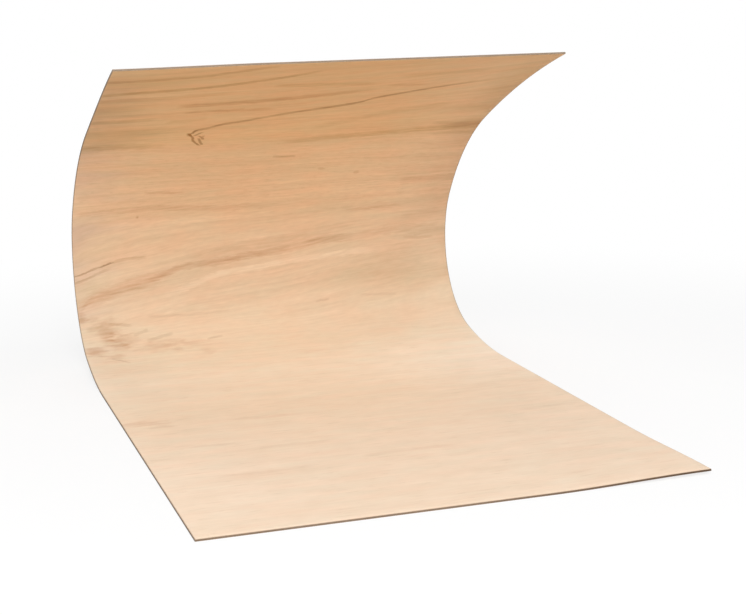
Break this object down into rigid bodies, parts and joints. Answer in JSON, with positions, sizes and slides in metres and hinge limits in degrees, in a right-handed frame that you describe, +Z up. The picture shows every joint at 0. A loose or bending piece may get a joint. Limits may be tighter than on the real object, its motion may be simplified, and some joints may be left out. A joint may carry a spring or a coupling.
{
  "type": "plywood sheet",
  "caption": "Thin sheet of bending plywood curled into an open C, flat on the floor at the front and leaning over at the top.",
  "frame": {"origin": "middle of the underside of the flat foot", "axes": "+X across the sheet, along the face grain; +Y from the front edge toward the heel; +Z up"},
  "size_m": [1.22, 1.7197, 0.9383],
  "materials": {
    "veneer": "matte"
  },
  "bodies": {
    "root": {"plywood_sheet": "veneer"}
  },
  "joints": []
}
